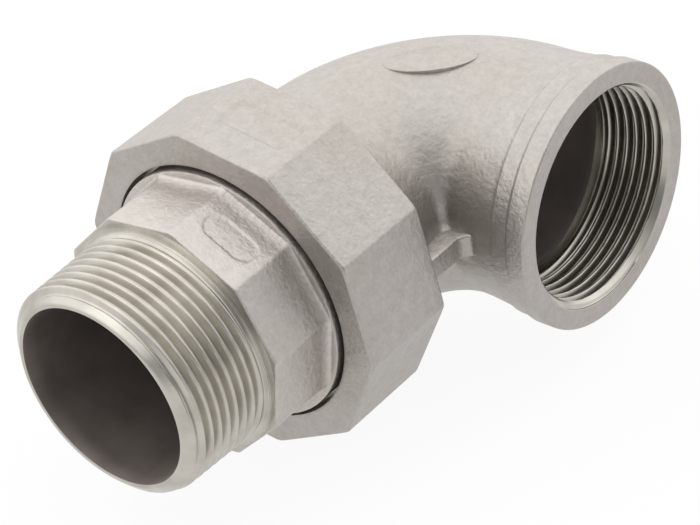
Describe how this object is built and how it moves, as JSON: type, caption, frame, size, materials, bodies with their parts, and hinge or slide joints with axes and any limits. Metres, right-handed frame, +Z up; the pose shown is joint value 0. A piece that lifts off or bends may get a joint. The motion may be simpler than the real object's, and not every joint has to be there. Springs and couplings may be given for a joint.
{
  "type": "elbow connector",
  "caption": "Right-angle pipe union elbow with a female threaded mouth, a union nut and a swivelling male threaded tail piece.",
  "frame": {"origin": "centre of the female mouth's end face", "axes": "+X out of the female mouth, -Y out of the male tail, +Z up, away from the plane of the two ports"},
  "size_m": [0.0831, 0.1292, 0.0716],
  "materials": {
    "cast_steel": "bead-blasted cast stainless steel, satin",
    "seal": "matte white"
  },
  "bodies": {
    "elbow": {"elbow_body": "cast_steel"},
    "seal": {"seal_ring": "seal"},
    "nut": {"union_nut": "cast_steel"},
    "tail": {"tail_piece": "cast_steel"}
  },
  "joints": [
    {"name": "union_travel", "type": "slide", "parent": "elbow", "child": "seal", "axis": [0, -1, 0], "range_m": [0, 0.0104]},
    {"name": "nut_turn", "type": "hinge", "parent": "seal", "child": "nut", "pos_m": [-0.047, -0.0515, 0], "axis": [0, -1, 0], "range_deg": [0, 1620]},
    {"name": "tail_swivel", "type": "hinge", "parent": "seal", "child": "tail", "pos_m": [-0.047, -0.0805, 0], "axis": [0, -1, 0], "continuous": true}
  ],
  "couplings": [
    {"joint": "union_travel", "follows": "nut_turn", "m_per_rad": 0.00036749}
  ]
}
